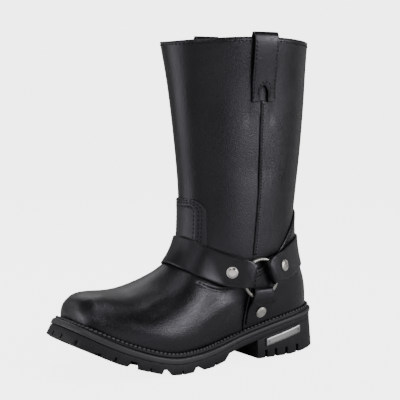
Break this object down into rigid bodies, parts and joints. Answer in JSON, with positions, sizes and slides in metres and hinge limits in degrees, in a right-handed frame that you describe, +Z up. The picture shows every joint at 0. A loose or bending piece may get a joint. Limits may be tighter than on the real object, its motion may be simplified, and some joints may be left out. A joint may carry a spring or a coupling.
{
  "type": "harness boot",
  "caption": "Pull-on leather harness boot for a left foot, with a tall open shaft, strap-and-ring harness at the ankle, pull loops and a lugged rubber sole with a stacked heel.",
  "frame": {"origin": "middle of the bounding box, on the floor under the sole", "axes": "+Z up, toe towards -Y, lateral side of the left boot towards +X"},
  "size_m": [0.113, 0.2954, 0.3278],
  "materials": {
    "leather": "smooth black, soft sheen",
    "rubber": "matt black",
    "sole_edge": "satin dark grey",
    "lining": "matt",
    "metal": "aged nickel",
    "plate": "brushed"
  },
  "bodies": {
    "root": {"counter": "leather", "heel": "rubber", "heel_plate": "plate", "insole": "lining", "midsole": "sole_edge", "outsole": "rubber", "pull_loop_lateral": "leather", "pull_loop_medial": "leather", "ring_lateral": "metal", "ring_medial": "metal", "seam_lateral": "leather", "seam_medial": "leather", "strap_front": "leather", "strap_lower_lateral": "leather", "strap_lower_medial": "leather", "strap_rear": "leather", "stud_front_lateral": "metal", "stud_front_medial": "metal", "stud_lower_lateral": "metal", "stud_lower_medial": "metal", "stud_rear_lateral": "metal", "stud_rear_medial": "metal", "tongue": "leather", "upper": "leather", "welt": "leather"}
  },
  "joints": []
}
